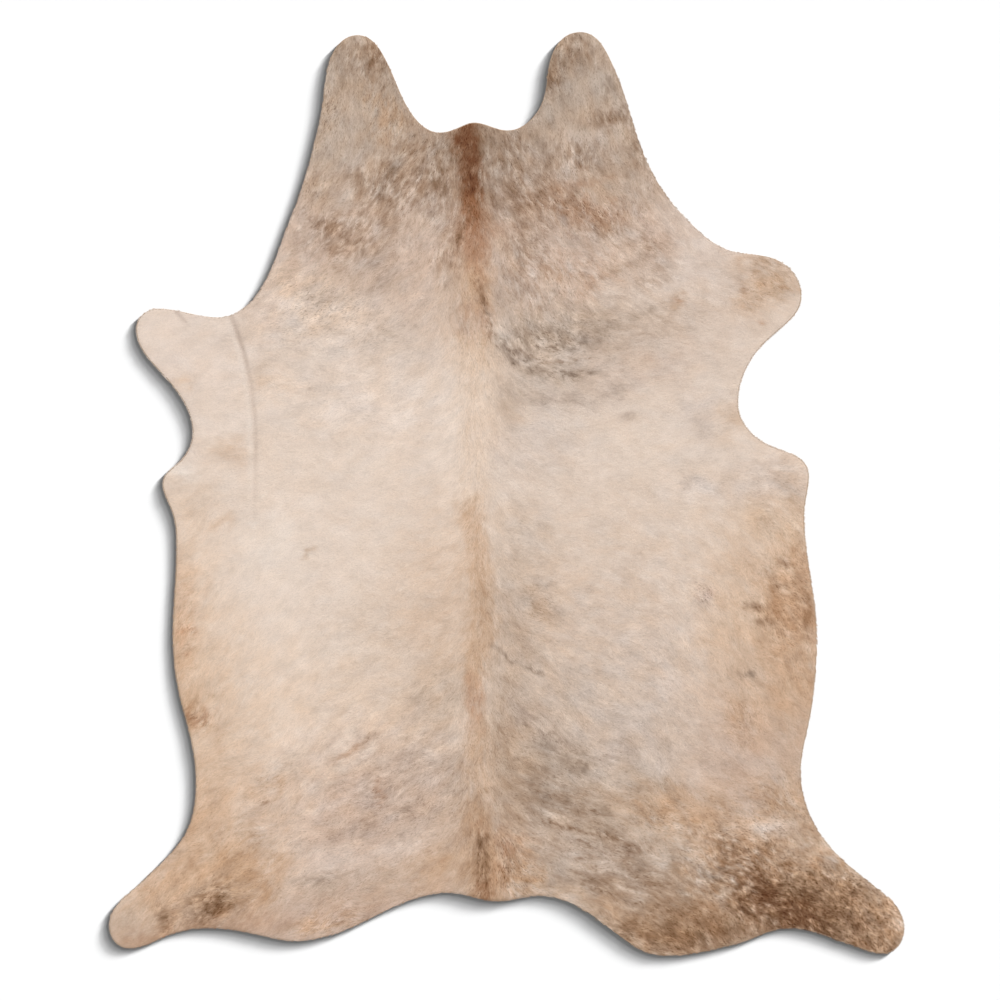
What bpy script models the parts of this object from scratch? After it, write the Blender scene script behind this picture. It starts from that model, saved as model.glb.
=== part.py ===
"""A cowhide rug: one whole cow skin with its short hair on, laid out flat with the coat up.

The neck points along +Y and the tail along -Y, with a foreleg and a hind leg on each side.
The underside lies flat on the surface at Z = 0, under the middle of the hide's box.
Lengths are in metres and headings in degrees, counted anticlockwise from +X.
"""

import math
from collections import namedtuple

import bpy
import numpy as np
from mathutils import Vector
from mathutils.geometry import delaunay_2d_cdt, interpolate_bezier

# The whole hide
HIDE_WIDTH = 1.830
HIDE_LENGTH = 2.126

# Its thickness in the middle of the back: the skin, and the short coat lying on it
SKIN_THICKNESS = 0.0022
COAT_DEPTH = 0.0028

# Landmarks along the outline, clockwise as seen from above. The outline passes each one
# on its heading, and bends from one to the next like an arc.
Landmark = namedtuple("Landmark", "place x y heading")
OUTLINE = (
    Landmark("left neck lobe, tip", -0.343, 1.056, 0),
    Landmark("left neck lobe, inner side", -0.274, 0.993, -63),
    Landmark("left neck lobe, root", -0.203, 0.857, -47),
    Landmark("nape, left dip", -0.154, 0.832, 0),
    Landmark("nape, rise", -0.112, 0.843, 24),
    Landmark("nape, middle", -0.075, 0.855, 0),
    Landmark("nape, right dip", 0.002, 0.837, 0),
    Landmark("right neck lobe, root", 0.067, 0.876, 54),
    Landmark("right neck lobe, inner side", 0.094, 0.972, 84),
    Landmark("right neck lobe, tip", 0.169, 1.063, 0),
    Landmark("right neck lobe, outer side", 0.245, 0.987, -65),
    Landmark("right side of the neck", 0.298, 0.832, -73),
    Landmark("right shoulder", 0.408, 0.639, -46),
    Landmark("right foreleg, top", 0.531, 0.556, -10),
    Landmark("right foreleg, end", 0.624, 0.538, -26),
    Landmark("right foreleg, tip", 0.679, 0.455, -90),
    Landmark("right foreleg, underside", 0.615, 0.366, -140),
    Landmark("right armpit", 0.533, 0.209, -90),
    Landmark("right breast lobe, top", 0.593, 0.118, -31),
    Landmark("right breast lobe, tip", 0.696, 0.041, -90),
    Landmark("right waist", 0.685, -0.050, -90),
    Landmark("right flank", 0.714, -0.328, -90),
    Landmark("right flank, fall", 0.699, -0.510, -100),
    Landmark("right thigh, narrowest", 0.677, -0.638, -90),
    Landmark("right thigh", 0.722, -0.782, -56),
    Landmark("right hind leg, top", 0.826, -0.886, -39),
    Landmark("right hind leg, tip", 0.915, -1.000, -90),
    Landmark("right hind leg, end", 0.866, -1.058, 180),
    Landmark("right hind leg, underside", 0.783, -1.035, 163),
    Landmark("right hind leg, root", 0.634, -1.001, 188),
    Landmark("right rump, slope", 0.525, -1.037, -166),
    Landmark("right rump lobe", 0.364, -1.063, 180),
    Landmark("right rump, rise", 0.251, -1.012, 143),
    Landmark("right of the tail", 0.076, -0.925, 180),
    Landmark("tail", -0.022, -0.938, 180),
    Landmark("left of the tail", -0.135, -0.918, 180),
    Landmark("left rump, slope", -0.286, -0.964, -153),
    Landmark("left rump lobe", -0.487, -1.029, 180),
    Landmark("left rump, rise", -0.604, -1.008, 170),
    Landmark("left hind leg, root", -0.690, -0.999, 180),
    Landmark("left hind leg, underside", -0.778, -1.016, -159),
    Landmark("left hind leg, end", -0.868, -1.046, 180),
    Landmark("left hind leg, tip", -0.915, -0.994, 90),
    Landmark("left hind leg, top", -0.842, -0.894, 43),
    Landmark("left thigh", -0.751, -0.800, 53),
    Landmark("left thigh, narrowest", -0.715, -0.665, 90),
    Landmark("left flank, fall", -0.744, -0.500, 106),
    Landmark("left flank", -0.768, -0.325, 90),
    Landmark("left waist", -0.760, -0.120, 90),
    Landmark("left breast lobe, underside", -0.771, -0.040, 110),
    Landmark("left breast lobe, tip", -0.792, 0.023, 90),
    Landmark("left breast lobe, top", -0.747, 0.081, 51),
    Landmark("left armpit", -0.723, 0.140, 90),
    Landmark("left foreleg, underside", -0.776, 0.256, 130),
    Landmark("left foreleg, tip", -0.853, 0.379, 90),
    Landmark("left foreleg, end", -0.802, 0.427, 0),
    Landmark("left foreleg, top", -0.664, 0.407, 0),
    Landmark("left shoulder", -0.579, 0.453, 53),
    Landmark("left side of the neck", -0.499, 0.630, 68),
    Landmark("left neck lobe, root of the outer side", -0.427, 0.878, 79),
    Landmark("left neck lobe, outer side", -0.405, 1.005, 69),
)

# Points along the outline: at most this far apart, and closer where it bends
LONGEST_STEP = 0.026
SHARPEST_TURN = math.radians(17)
POINTS_PER_STRETCH = 48

# The edge from the underside up and over to the coat. The inset is from the outline, and
# the height is a share of the thickness there.
EdgeRing = namedtuple("EdgeRing", "inset height")
EDGE = (
    EdgeRing(0.0022, 0.00),
    EdgeRing(0.0004, 0.12),
    EdgeRing(0.0000, 0.36),
    EdgeRing(0.0018, 0.64),
    EdgeRing(0.0060, 0.84),
    EdgeRing(0.0140, 0.95),
)

# Where the hide is thicker or thinner than in the middle of the back
Swell = namedtuple("Swell", "place x y reach_x reach_y rise")
SWELLS = (
    Swell("along the spine", -0.065, -0.05, 0.05, 0.80, 0.0006),
    Swell("nape", -0.05, 0.78, 0.26, 0.26, 0.0010),
    Swell("shoulders", 0.05, 0.42, 0.42, 0.16, 0.0004),
    Swell("rump", 0.00, -0.80, 0.45, 0.20, 0.0006),
    Swell("left belly", -0.76, -0.25, 0.16, 0.45, -0.0009),
    Swell("right belly", 0.72, -0.25, 0.16, 0.45, -0.0009),
    Swell("left foreleg", -0.80, 0.36, 0.14, 0.12, -0.0006),
    Swell("right foreleg", 0.64, 0.44, 0.14, 0.12, -0.0006),
    Swell("left hind leg", -0.86, -0.97, 0.16, 0.14, -0.0007),
    Swell("right hind leg", 0.86, -0.97, 0.16, 0.14, -0.0007),
)

# Creases in the skin, which fade towards their ends: soft troughs with a low shoulder on the
# right of their heading. The shoulder's height is a share of the trough's depth, and its
# distance from the trough and its reach are counted in half widths.
Crease = namedtuple("Crease", "place x y heading end_x end_y end_heading half_width depth")
CREASES = (
    Crease("across the left foreleg", -0.636, 0.407, -60, -0.573, 0.040, -93, 0.007, 0.0013),
    Crease("nick at the left foreleg", -0.758, 0.418, -52, -0.737, 0.393, -45, 0.004, 0.0006),
)
SHOULDER_HEIGHT = 0.3
SHOULDER_DISTANCE = 2.4
SHOULDER_REACH = 4.0
CREASE_STEP = 0.016
FINE_CREASE_STEP = 0.002
CREASE_ROWS = (-0.018, -0.007, 0.0, 0.007, 0.018)

# Points away from the edge, in rows of a triangular grid, and how far they keep from the
# edge's points (as a share of the grid) and from a crease's
COAT_GRID = 0.052
UNDERSIDE_GRID = 0.160
CLEAR_OF_EDGE = 0.55
CLEAR_OF_CREASE = 0.034
SAME_POINT = 1e-7

COAT_COLOUR = (0.72, 0.58, 0.46, 1.0)


def remove_everything():
    for thing in list(bpy.data.objects):
        bpy.data.objects.remove(thing, do_unlink=True)


def direction(heading):
    angle = math.radians(heading)
    return Vector((math.cos(angle), math.sin(angle), 0.0))


def handle_length(chord, ahead):
    """The handle that bends a curve like an arc leaving its chord in the direction ahead."""
    swing = chord.angle(ahead)
    return chord.length / (3 * math.cos(swing / 2) ** 2)


def curve_between(start, start_heading, end, end_heading, count):
    """Points on a smooth curve from start to end, which leaves and arrives on its headings."""
    chord = end - start
    leaving = direction(start_heading)
    arriving = direction(end_heading)
    first_handle = start + leaving * handle_length(chord, leaving)
    last_handle = end - arriving * handle_length(chord, arriving)
    return interpolate_bezier(start, first_handle, last_handle, end, count)


def smooth_outline():
    """The outline as a closed row of close points, through every landmark."""
    points = []
    for here, there in zip(OUTLINE, OUTLINE[1:] + OUTLINE[:1]):
        start = Vector((here.x, here.y, 0.0))
        end = Vector((there.x, there.y, 0.0))
        stretch = curve_between(start, here.heading, end, there.heading, POINTS_PER_STRETCH)
        points += [point.xy for point in stretch[:-1]]
    return np.array(points)


def fitted(points):
    """The outline scaled to the hide's width and length, with its box centred on the origin."""
    low = points.min(axis=0)
    high = points.max(axis=0)
    scale = np.array([HIDE_WIDTH, HIDE_LENGTH]) / (high - low)
    return (points - (low + high) / 2) * scale


def well_spaced(points):
    """Fewer points on the same closed line, far apart on straight runs and close on bends."""
    ahead = np.roll(points, -1, axis=0) - points
    length = np.linalg.norm(ahead, axis=1)
    heading = np.arctan2(ahead[:, 1], ahead[:, 0])
    turn = np.abs((np.roll(heading, -1) - heading + math.pi) % (2 * math.pi) - math.pi)
    cost = length / LONGEST_STEP + (turn + np.roll(turn, 1)) / 2 / SHARPEST_TURN
    reached = np.concatenate([[0.0], np.cumsum(cost)])
    closed = np.vstack([points, points[:1]])
    stops = np.linspace(0.0, reached[-1], math.ceil(reached[-1]), endpoint=False)
    return np.stack([np.interp(stops, reached, column) for column in closed.T], axis=1)


def inward(points):
    """The direction into the hide at each point of its clockwise outline."""
    along = np.roll(points, -1, axis=0) - np.roll(points, 1, axis=0)
    along /= np.linalg.norm(along, axis=1, keepdims=True)
    return np.stack([along[:, 1], -along[:, 0]], axis=1)


def crease_line(crease, step):
    """Points along a crease, and the direction to its right at each."""
    start = Vector((crease.x, crease.y, 0.0))
    end = Vector((crease.end_x, crease.end_y, 0.0))
    count = 1 + math.ceil((end - start).length / step)
    curve = curve_between(start, crease.heading, end, crease.end_heading, count)
    line = np.array([point.xy for point in curve])
    along = np.gradient(line, axis=0)
    along /= np.linalg.norm(along, axis=1, keepdims=True)
    return line, np.stack([along[:, 1], -along[:, 0]], axis=1)


def crease_depth(points):
    """How far each point sinks into a crease, or a little less than nothing on its shoulder."""
    depth = np.zeros(len(points))
    for crease in CREASES:
        line, right = crease_line(crease, FINE_CREASE_STEP)
        distance = np.linalg.norm(points[:, None] - line[None], axis=2)
        nearest = distance.argmin(axis=1)
        away = points - line[nearest]
        gap = np.linalg.norm(away, axis=1) / crease.half_width
        side = (away * right[nearest]).sum(axis=1) / crease.half_width
        fade = np.sqrt(1 - nearest / (len(line) - 1))
        trough = np.exp(-(gap**2))
        shoulder = SHOULDER_HEIGHT * np.exp(-((side - SHOULDER_DISTANCE) ** 2))
        shoulder *= gap < SHOULDER_REACH
        depth += crease.depth * fade * (trough - shoulder)
    return depth


def thickness(points):
    """The height of the coat above the flat underside, away from the edge."""
    height = np.full(len(points), SKIN_THICKNESS + COAT_DEPTH)
    for swell in SWELLS:
        across = (points[:, 0] - swell.x) / swell.reach_x
        along = (points[:, 1] - swell.y) / swell.reach_y
        height += swell.rise * np.exp(-(across**2) - along**2)
    return height - crease_depth(points)


def inside(points, outline):
    """Which points lie within a closed outline, by how often a ray to the right crosses it."""
    x, y = points[:, :1], points[:, 1:]
    start, end = outline, np.roll(outline, -1, axis=0)
    crosses = (start[:, 1] > y) != (end[:, 1] > y)
    rise = np.where(end[:, 1] == start[:, 1], 1.0, end[:, 1] - start[:, 1])
    reach = start[:, 0] + (y - start[:, 1]) * (end[:, 0] - start[:, 0]) / rise
    return (crosses & (x < reach)).sum(axis=1) % 2 == 1


def nearest_gap(points, others):
    return np.linalg.norm(points[:, None] - others[None], axis=2).min(axis=1)


def grid_inside(outline, step):
    """A triangular grid of points within the outline, well clear of it."""
    low, high = outline.min(axis=0), outline.max(axis=0)
    rows = np.arange(low[1], high[1], step * math.sqrt(3) / 2)
    columns = np.arange(low[0], high[0], step)
    points = np.array([(x + step / 2 * (row % 2), y) for row, y in enumerate(rows) for x in columns])
    points = points[inside(points, outline)]
    return points[nearest_gap(points, outline) > step * CLEAR_OF_EDGE]


def crease_points(outline):
    """Rows of points along each crease, so that the faces follow its trough."""
    rows = []
    for crease in CREASES:
        line, right = crease_line(crease, CREASE_STEP)
        rows += [line + right * offset for offset in CREASE_ROWS]
    points = np.vstack(rows)
    points = points[inside(points, outline)]
    return points[nearest_gap(points, outline) > CREASE_STEP * CLEAR_OF_EDGE]


def filled(rim, middle):
    """Triangles between the points of a closed rim and those in its middle, facing up."""
    points = [Vector(point) for point in np.vstack([rim, middle])]
    count = len(rim)
    edges = [(index, (index + 1) % count) for index in range(count)]
    only_inside = 1
    made = delaunay_2d_cdt(points, edges, [], only_inside, SAME_POINT)
    faces, sources = made[2], made[3]
    return [tuple(sources[corner][0] for corner in face) for face in faces]


def renumbered(faces, rim_start, rim_count, middle_start):
    """The faces of a filled rim, with their corners numbered as in the whole mesh."""
    def number(corner):
        if corner < rim_count:
            return rim_start + corner
        return middle_start + corner - rim_count

    return [tuple(number(corner) for corner in face) for face in faces]


def edge_faces(count):
    """The faces between each ring of the edge and the next."""
    faces = []
    for ring in range(len(EDGE) - 1):
        for index in range(count):
            after = (index + 1) % count
            low, high = ring * count, (ring + 1) * count
            faces.append((low + after, low + index, high + index, high + after))
    return faces


def hide_mesh():
    """The whole hide as one closed body: the edge, then the coat, then the underside."""
    outline = fitted(well_spaced(smooth_outline()))
    into = inward(outline)
    count = len(outline)
    vertices = []
    for ring in EDGE:
        flat = outline + into * ring.inset
        height = thickness(flat) * ring.height
        vertices += [(x, y, z) for (x, y), z in zip(flat, height)]
    faces = edge_faces(count)

    rim = outline + into * EDGE[-1].inset
    creases = crease_points(rim)
    grid = grid_inside(rim, COAT_GRID)
    grid = grid[nearest_gap(grid, creases) > CLEAR_OF_CREASE]
    middle = np.vstack([creases, grid])
    last_ring = (len(EDGE) - 1) * count
    faces += renumbered(filled(rim, middle), last_ring, count, len(vertices))
    vertices += [(x, y, z) for (x, y), z in zip(middle, thickness(middle))]

    rim = outline + into * EDGE[0].inset
    middle = grid_inside(rim, UNDERSIDE_GRID)
    facing_up = renumbered(filled(rim, middle), 0, count, len(vertices))
    faces += [face[::-1] for face in facing_up]
    vertices += [(x, y, 0.0) for x, y in middle]

    mesh = bpy.data.meshes.new("cowhide")
    mesh.from_pydata(vertices, [], faces)
    mesh.shade_smooth()
    mesh.set_sharp_from_angle(angle=math.radians(60))
    return mesh


def coat_material():
    material = bpy.data.materials.new("hide")
    material.use_nodes = True
    shader = material.node_tree.nodes["Principled BSDF"]
    shader.inputs["Base Color"].default_value = COAT_COLOUR
    shader.inputs["Roughness"].default_value = 0.75
    shader.inputs["Metallic"].default_value = 0.0
    return material


def build_hide():
    mesh = hide_mesh()
    mesh.materials.append(coat_material())
    hide = bpy.data.objects.new("cowhide", mesh)
    bpy.context.collection.objects.link(hide)
    return hide


remove_everything()
build_hide()
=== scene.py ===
"""The looks of a cowhide rug: its skin, and the short brindled hair lying flat on it.

Lengths are in metres. Headings are in degrees, counted anticlockwise from +X, as seen from
above: the neck points along +Y, and the tail along -Y.
"""

import math
from collections import namedtuple

import bmesh
import bpy
import numpy as np
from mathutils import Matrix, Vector
from mathutils.bvhtree import BVHTree
from mathutils.geometry import delaunay_2d_cdt, interpolate_bezier
from mathutils.kdtree import KDTree


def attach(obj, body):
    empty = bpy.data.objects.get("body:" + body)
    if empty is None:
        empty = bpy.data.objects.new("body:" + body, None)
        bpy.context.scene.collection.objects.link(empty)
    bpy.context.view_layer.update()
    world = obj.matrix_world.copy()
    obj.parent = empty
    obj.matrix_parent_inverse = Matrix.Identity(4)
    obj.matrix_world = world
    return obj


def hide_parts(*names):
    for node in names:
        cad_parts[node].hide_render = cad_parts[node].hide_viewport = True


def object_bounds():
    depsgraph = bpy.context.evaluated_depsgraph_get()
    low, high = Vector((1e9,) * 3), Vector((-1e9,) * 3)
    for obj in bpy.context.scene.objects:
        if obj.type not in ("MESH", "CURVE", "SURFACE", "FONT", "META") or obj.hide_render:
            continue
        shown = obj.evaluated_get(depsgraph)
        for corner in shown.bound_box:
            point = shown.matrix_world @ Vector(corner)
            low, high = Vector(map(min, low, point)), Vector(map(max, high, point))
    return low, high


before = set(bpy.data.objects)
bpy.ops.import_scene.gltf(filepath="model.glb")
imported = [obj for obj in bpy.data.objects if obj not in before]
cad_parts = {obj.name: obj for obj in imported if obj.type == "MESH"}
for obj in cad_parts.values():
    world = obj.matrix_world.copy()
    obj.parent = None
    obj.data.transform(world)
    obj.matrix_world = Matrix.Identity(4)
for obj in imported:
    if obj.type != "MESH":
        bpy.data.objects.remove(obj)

cad_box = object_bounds()

# The photograph: its width, the real width of a pixel at the hide, and the middle of its frame
PHOTO_WIDTH = 1000
PHOTO_PIXEL = 0.0023
PHOTO_MIDDLE = (-0.0153, -0.0143)

# The camera looks straight down
CAMERA_HEIGHT = 6.0
SENSOR_WIDTH = 36.0

# Light: a pale room whose walls fade upwards, a soft high light on the hide, and three low ones
# that give the wide floor, just under the hide, a shadow that fades away from it
ROOM_BRIGHTNESS = 0.20
WALL_BRIGHTNESS = 1.0
WALL_FADE = (0.20, 0.34)
FLOOR_SIZE = 120.0
FLOOR_TONE = 0.70
FLOOR_DROP = 0.0002
HIDE_LIGHT = dict(strength=3.05, heading=60.0, height=58.0, softness=50.0)
FLOOR_LIGHTS = (
    dict(strength=2.5, heading=40.0, height=14.0, softness=10.0),
    dict(strength=10.4, heading=40.0, height=7.2, softness=4.4),
    dict(strength=22.6, heading=40.0, height=4.7, softness=2.6),
)

# The canvas: a fine grid over the hide, on which its markings are worked out, and a coarser one
# for heights and gaps. Both are read to just short of their last cell.
CELL = 0.002
MARGIN = 0.040
WEST = cad_box[0].x - MARGIN
SOUTH = cad_box[0].y - MARGIN
COLUMNS = math.ceil((cad_box[1].x + MARGIN - WEST) / CELL) + 1
ROWS = math.ceil((cad_box[1].y + MARGIN - SOUTH) / CELL) + 1
COARSE_CELL = 0.004
END_CELLS = 1.001

# The skin's edge, from the underside up and over: how far in from the outline, and how high
EdgeRing = namedtuple("EdgeRing", "inset height")
EDGE = (
    EdgeRing(0.0022, 0.0000),
    EdgeRing(0.0016, 0.0003),
    EdgeRing(0.0015, 0.0018),
    EdgeRing(0.0019, 0.0022),
    EdgeRing(0.0036, 0.0026),
)
EDGE_STEP = 0.005
OUTLINE_PARTS = 12
TOP, CUT_EDGE, UNDERSIDE = range(3)

# The skin's two sides: the ring each is filled from, its grid, how many cells in that starts,
# and which way its faces turn
Side = namedtuple("Side", "part ring grid clearance way")
SIDES = (Side(TOP, -1, 0.0088, 0.6, 1), Side(UNDERSIDE, 0, 0.022, 0.5, -1))
SAME_POINT = 1e-6
SHARP_ANGLE = math.radians(40)

# The top of the skin rises over this width, from its cut edge in, to this share of the coat's
# height
SKIN_RISE = 0.012
ROOT_SHARE = 0.84

# How high the coat stands near its edge, as a share of its height further in
COAT_GAPS = (-0.004, 0.0, 0.0018, 0.006, 0.014)
COAT_SHARES = (0.32, 0.48, 0.62, 0.86, 1.0)

# How dark the coat is painted at its rim: painted shade along the edge, where the cut edge also shows
# through the thinning hair
RIM_GAPS = (-0.001, 0.004)
RIM_PAINTED_SHADES = (0.86, 1.0)

# Locks of hair: their spacing and size, how far they turn off the coat's lie and bend, and how
# those at the rim are cut short, thinned or left out
LOCK_SEED = 41
LOCK_STEP = 0.00275
LOCK_INSET = 0.0012
LOCK_LENGTHS = (0.0065, 0.0120)
LOCK_WIDTHS = (0.0017, 0.0026)
LOCK_TURN = 12.0
LOCK_BEND = 0.0007
OVERHANGS = (0.0003, 0.0008)
CUT_THINNING = 0.3
SHORTEST_LOCK = 0.004
COAT_PIECES = ("coat_neck", "coat_back", "coat_loin", "coat_rump")

# A lock is widest at its crown, this share of the way along it. Its root sits in the skin, and
# its tip about as high as the coat.
LOCK_CROWN = 0.4
CROWN_BEND = 0.3
LOCK_DROP = 0.00012
ROOT_DEPTH = 0.0002
TIP_SHARES = (0.92, 1.03)

# The tone of a lock: how far along it the coat's is taken, how much of each corner's own it
# keeps, and how dark some locks are
TONE_PLACE = 0.6
OWN_TONE = 0.7
# Each corner's painted light, in the order root, right, tip, left: the root painted in shade, the tip
# a little lit
CORNER_LIGHTS = (0.96, 1.0, 1.01, 1.0)
LOCK_SPREAD = 2.4
SPREAD_POWER = 1.7
DARK_FROM = 0.3
MEAN_DARKNESS = 0.27

# The line of the spine, from nape to tail
SPINE_Y = (0.86, 0.35, -0.15, -0.34, -0.61, -0.78, -0.93)
SPINE_X = (-0.076, -0.076, -0.061, -0.054, -0.073, -0.062, -0.040)

# The hair's heading at each distance from the spine, for rows down the hide
LIE_OFFSETS = (-0.60, -0.30, -0.09, -0.03, 0.0, 0.03, 0.09, 0.30, 0.60)
Lie = namedtuple("Lie", "y headings")
LIES = [Lie(*row) for row in (
    (1.05, (-95, -92, -91, -90, -90, -90, -89, -88, -85)),
    (0.85, (-105, -106, -105, -94, -90, -86, -75, -72, -75)),
    (0.65, (-125, -130, -115, -96, -90, -84, -65, -50, -50)),
    (0.45, (-160, -155, -125, -98, -90, -82, -58, -30, -20)),
    (0.3, (-176, -178, -140, -100, -90, -80, -38, 2, 2)),
    (0.1, (-178, -176, -160, -110, -90, -70, -25, -4, 0)),
    (-0.1, (-150, -174, -162, -115, -90, -65, -22, -6, -38)),
    (-0.3, (-125, -163, -148, -110, -90, -70, -38, -16, -60)),
    (-0.5, (-132, -158, -146, -108, -90, -72, -38, -22, -50)),
    (-0.7, (-148, -158, -150, -110, -90, -70, -32, -20, -32)),
    (-0.9, (-142, -160, -150, -110, -90, -70, -30, -20, -38)),
    (-1.05, (-140, -158, -145, -108, -90, -72, -35, -24, -40)),
)]

# Colours as they look in the photograph, each from 0 to 255
PALETTE = {
    "white": (244, 236, 228),
    "cream": (227, 209, 194),
    "blush": (228, 210, 197),
    "bone": (223, 206, 194),
    "pearl": (211, 194, 182),
    "sand": (222, 195, 170),
    "wheat": (212, 181, 153),
    "tan": (199, 164, 134),
    "fawn": (181, 144, 112),
    "clay": (182, 161, 143),
    "dun": (184, 156, 132),
    "rose": (197, 170, 152),
    "ash": (164, 143, 129),
    "copper": (170, 130, 102),
    "rust": (172, 120, 86),
    "chestnut": (138, 90, 58),
    "mahogany": (110, 66, 38),
    "bark": (114, 82, 57),
    "chocolate": (96, 62, 38),
    "soot": (90, 70, 54),
}

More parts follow.
